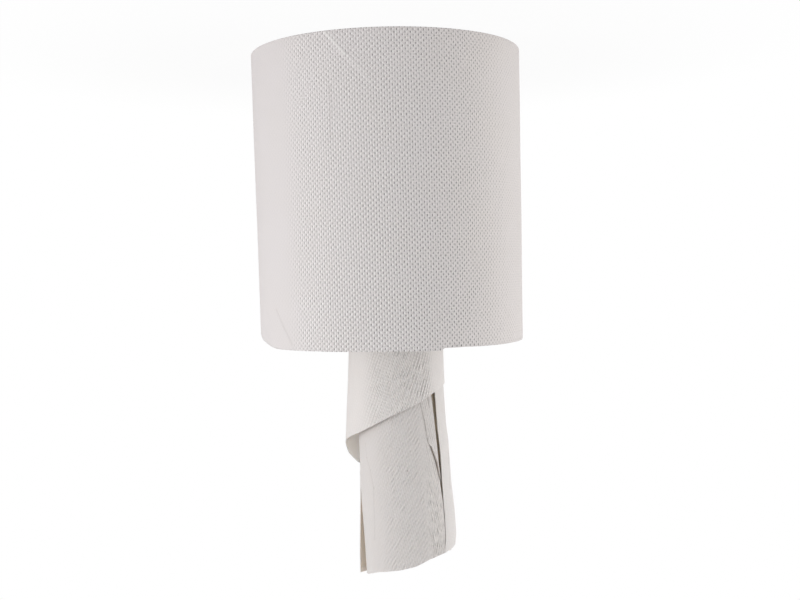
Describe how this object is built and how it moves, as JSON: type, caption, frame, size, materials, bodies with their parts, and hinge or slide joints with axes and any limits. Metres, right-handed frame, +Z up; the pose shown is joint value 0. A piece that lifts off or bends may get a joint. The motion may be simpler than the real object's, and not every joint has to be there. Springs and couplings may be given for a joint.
{
  "type": "paper towel roll",
  "caption": "Coreless centre-feed paper towel roll standing on one end, with its innermost turns pulled out of the other end as a loosely rolled tail.",
  "frame": {"origin": "centre of the roll's closed end, on the surface that it stands on", "axes": "+Z up along the roll's axis, towards the end that the tail comes out of; -Y is the side that the picture shows; the tail leans towards -X"},
  "size_m": [0.1846, 0.1851, 0.3678],
  "materials": {
    "paper": "matt, dimple-embossed recycled tissue, unbleached off-white"
  },
  "bodies": {
    "root": {"towel_roll": "paper"}
  },
  "joints": []
}
